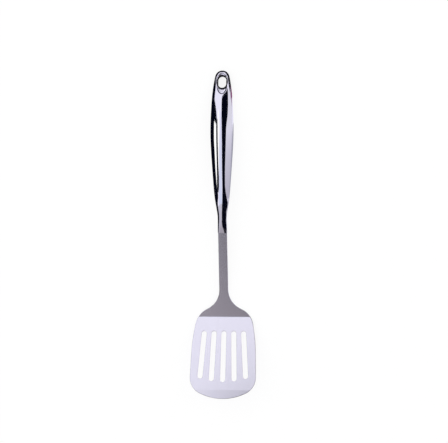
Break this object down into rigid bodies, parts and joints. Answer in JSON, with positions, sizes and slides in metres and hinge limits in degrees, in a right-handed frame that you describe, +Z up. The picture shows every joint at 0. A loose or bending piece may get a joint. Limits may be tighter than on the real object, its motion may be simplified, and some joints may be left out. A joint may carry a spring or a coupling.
{
  "type": "slotted turner",
  "caption": "Stainless steel slotted turner with an angled flat blade, a slim flat shank and a hollow polished handle with a hang hole.",
  "frame": {"origin": "on the table, under the middle of the tool as it lies at rest on the blade's heel and the handle's end", "axes": "+X to the right across the blade, +Y along the tool from the blade towards the handle's end, +Z up, out of the side that carries food"},
  "size_m": [0.0742, 0.3658, 0.0323],
  "materials": {
    "satin_steel": "fine satin, brushed along the shank",
    "neck_steel": "polished stainless steel",
    "polished_steel": "mirror-polished stainless steel",
    "seam_steel": "weld ground flush and polished",
    "eyelet_steel": "mirror-polished stainless steel"
  },
  "bodies": {
    "root": {"blade_and_shank": "satin_steel", "neck_collar": "neck_steel", "handle_front_shell": "polished_steel", "handle_back_shell": "polished_steel", "handle_seam_weld": "seam_steel", "hang_hole_eyelet": "eyelet_steel"}
  },
  "joints": []
}
